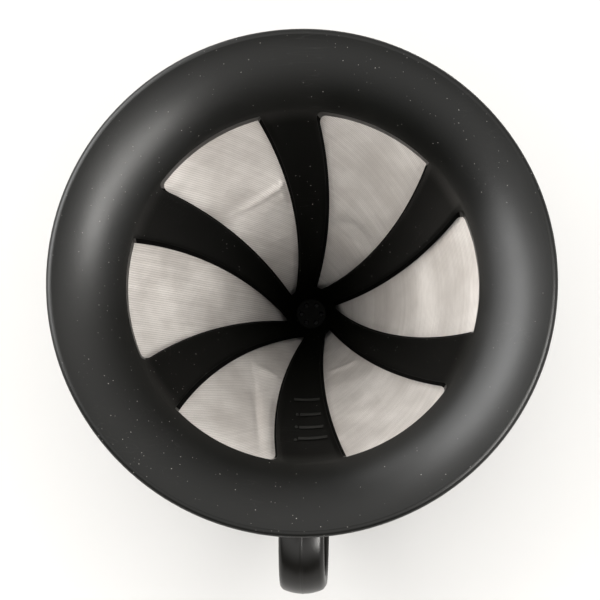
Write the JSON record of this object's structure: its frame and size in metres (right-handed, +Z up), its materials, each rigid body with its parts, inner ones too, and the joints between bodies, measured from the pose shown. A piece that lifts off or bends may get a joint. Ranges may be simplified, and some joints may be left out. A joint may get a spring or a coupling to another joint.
{
  "type": "pour over dripper",
  "caption": "Cone dripper with a flared bowl, swirl ribs over steel mesh, and an open stand with saucer and strap handle; the filter lifts out.",
  "frame": {"origin": "on the cone's axis, in the plane that the locating ring stands on", "axes": "+Z up along the cone's axis, handle towards -Y"},
  "size_m": [0.116, 0.1294, 0.082],
  "materials": {
    "bowl_plastic": "fine satin moulded black",
    "stand_plastic": "semi-gloss moulded black",
    "mesh_steel": "fine woven stainless wire"
  },
  "bodies": {
    "stand": {"stand_cage": "stand_plastic", "saucer": "stand_plastic", "handle": "stand_plastic"},
    "filter": {"filter_frame": "bowl_plastic", "filter_mesh": "mesh_steel", "tip_cap": "bowl_plastic"}
  },
  "joints": [
    {"name": "filter_lift", "type": "slide", "parent": "stand", "child": "filter", "axis": [0, 0, 1], "range_m": [0, 0.08]}
  ]
}
